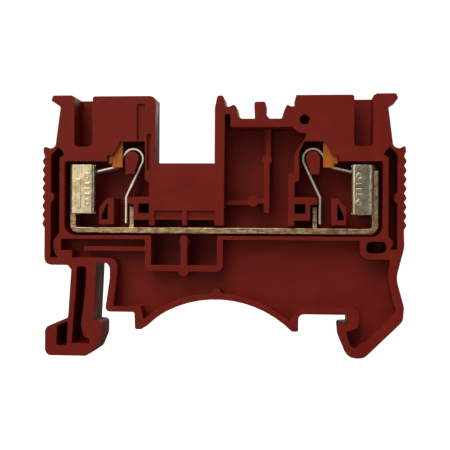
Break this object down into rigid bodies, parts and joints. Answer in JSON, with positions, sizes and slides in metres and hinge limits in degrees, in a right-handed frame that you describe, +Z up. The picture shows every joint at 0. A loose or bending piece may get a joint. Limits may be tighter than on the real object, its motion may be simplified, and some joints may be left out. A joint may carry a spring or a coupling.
{
  "type": "push-in feed-through terminal block",
  "caption": "Slim rail-mounted wire terminal block with an open side, push-in spring clamps at both ends, a bent current bar and release buttons.",
  "frame": {"origin": "on the plane of the rail's top face, midway between the two wire clamps and halfway through the thickness", "axes": "+X from the snap foot towards the fixed hook, +Y from the open side to the closed back wall, +Z up, away from the rail"},
  "size_m": [0.0486, 0.0052, 0.0351],
  "materials": {
    "housing_plastic": "semi-matt moulded polyamide, dark red",
    "button_plastic": "moulded polyamide, orange",
    "tinned_bar": "worn tin plating over copper alloy, warm beige",
    "cage_metal": "nickel-plated stamped sheet",
    "spring_steel": "bright strip spring steel"
  },
  "bodies": {
    "base": {"housing": "housing_plastic", "current_bar": "tinned_bar", "clamp_cage_left": "cage_metal", "clamp_cage_right": "cage_metal", "clamp_spring_left": "spring_steel", "clamp_spring_right": "spring_steel"},
    "button_left": {"push_button_left": "button_plastic"},
    "button_right": {"push_button_right": "button_plastic"},
    "leg_left": {"spring_leg_left": "spring_steel"},
    "leg_right": {"spring_leg_right": "spring_steel"},
    "foot": {"snap_foot": "housing_plastic"}
  },
  "joints": [
    {"name": "release_left", "type": "slide", "parent": "base", "child": "button_left", "axis": [0, 0, -1], "range_m": [0, 0.0022], "stiffness_N_per_m": 200},
    {"name": "release_right", "type": "slide", "parent": "base", "child": "button_right", "axis": [0, 0, -1], "range_m": [0, 0.0022], "stiffness_N_per_m": 200},
    {"name": "leg_swing_left", "type": "hinge", "parent": "base", "child": "leg_left", "pos_m": [-0.01212, 0, 0.02063], "axis": [0, -1, 0], "range_deg": [0, 35], "stiffness_Nm_per_rad": 0.002},
    {"name": "leg_swing_right", "type": "hinge", "parent": "base", "child": "leg_right", "pos_m": [0.01212, 0, 0.02063], "axis": [0, 1, 0], "range_deg": [0, 35], "stiffness_Nm_per_rad": 0.002},
    {"name": "foot_flex", "type": "hinge", "parent": "base", "child": "foot", "pos_m": [-0.01855, 0, 0.0036], "axis": [0, 1, 0], "range_deg": [0, 9], "stiffness_Nm_per_rad": 0.1}
  ],
  "couplings": [
    {"joint": "leg_swing_left", "follows": "release_left", "rad_per_m": 277.6},
    {"joint": "leg_swing_right", "follows": "release_right", "rad_per_m": 277.6}
  ]
}
